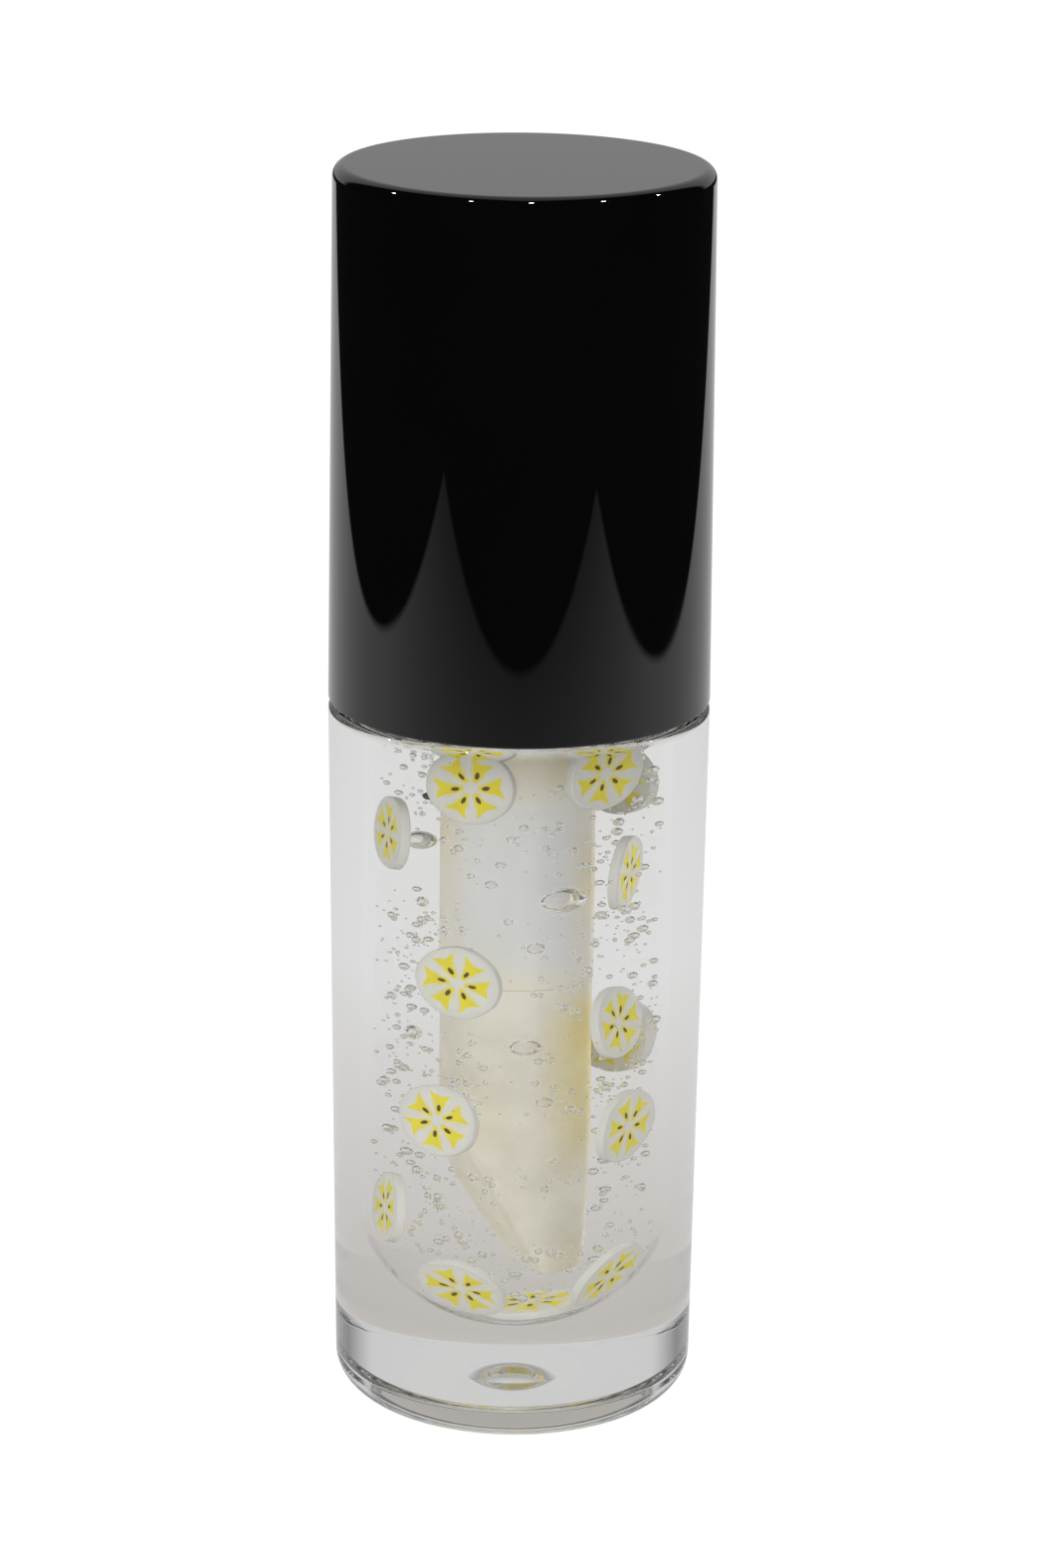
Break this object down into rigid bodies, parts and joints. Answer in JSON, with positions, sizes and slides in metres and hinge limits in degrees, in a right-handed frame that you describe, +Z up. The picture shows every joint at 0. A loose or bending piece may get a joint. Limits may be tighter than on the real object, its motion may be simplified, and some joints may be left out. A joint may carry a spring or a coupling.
{
  "type": "lip gloss tube",
  "caption": "Round thick-walled clear lip gloss tube filled with clear gel and fruit slices, with a tall black screw cap that carries a doe-foot applicator wand.",
  "frame": {"origin": "on the tube's axis at the underside of the bottle", "axes": "+Z up along the tube from base to cap, -Y the front, +X to the right seen from the front"},
  "size_m": [0.022, 0.022, 0.0732],
  "materials": {
    "clear_plastic": "polished clear plastic, thick wall",
    "wiper_plastic": "soft milky plastic",
    "gel": "clear gel with fine bubbles",
    "fruit_slice": "off-white clay slice with six yellow segments",
    "washer_foam": "soft white sealing ring",
    "black_gloss": "polished black",
    "cap_liner": "natural white moulding",
    "stem_plastic": "frosted translucent rod",
    "tip_core": "soft moulded plastic",
    "flock": "short beige flock fibres"
  },
  "bodies": {
    "bottle": {"bottle": "clear_plastic", "wiper": "wiper_plastic", "gloss_fill": "gel", "fruit_slice_01": "fruit_slice", "fruit_slice_02": "fruit_slice", "fruit_slice_03": "fruit_slice", "fruit_slice_04": "fruit_slice", "fruit_slice_05": "fruit_slice", "fruit_slice_06": "fruit_slice", "fruit_slice_07": "fruit_slice", "fruit_slice_08": "fruit_slice", "fruit_slice_09": "fruit_slice", "fruit_slice_10": "fruit_slice", "fruit_slice_11": "fruit_slice", "fruit_slice_12": "fruit_slice", "fruit_slice_13": "fruit_slice", "fruit_slice_14": "fruit_slice", "fruit_slice_15": "fruit_slice", "fruit_slice_16": "fruit_slice", "fruit_slice_17": "fruit_slice"},
    "washer": {"seal_washer": "washer_foam"},
    "cap": {"cap_shell": "black_gloss", "inner_cap": "cap_liner", "wand_stem": "stem_plastic", "tip_core": "tip_core", "tip_flock": "flock"}
  },
  "joints": [
    {"name": "cap_lift", "type": "slide", "parent": "bottle", "child": "washer", "axis": [0, 0, 1], "range_m": [0, 0.055], "deforming": ["gloss_fill"]},
    {"name": "cap_turn", "type": "hinge", "parent": "washer", "child": "cap", "pos_m": [0, 0, 0.0535], "axis": [0, 0, 1], "range_deg": [0, 540], "deforming": ["gloss_fill"]}
  ]
}
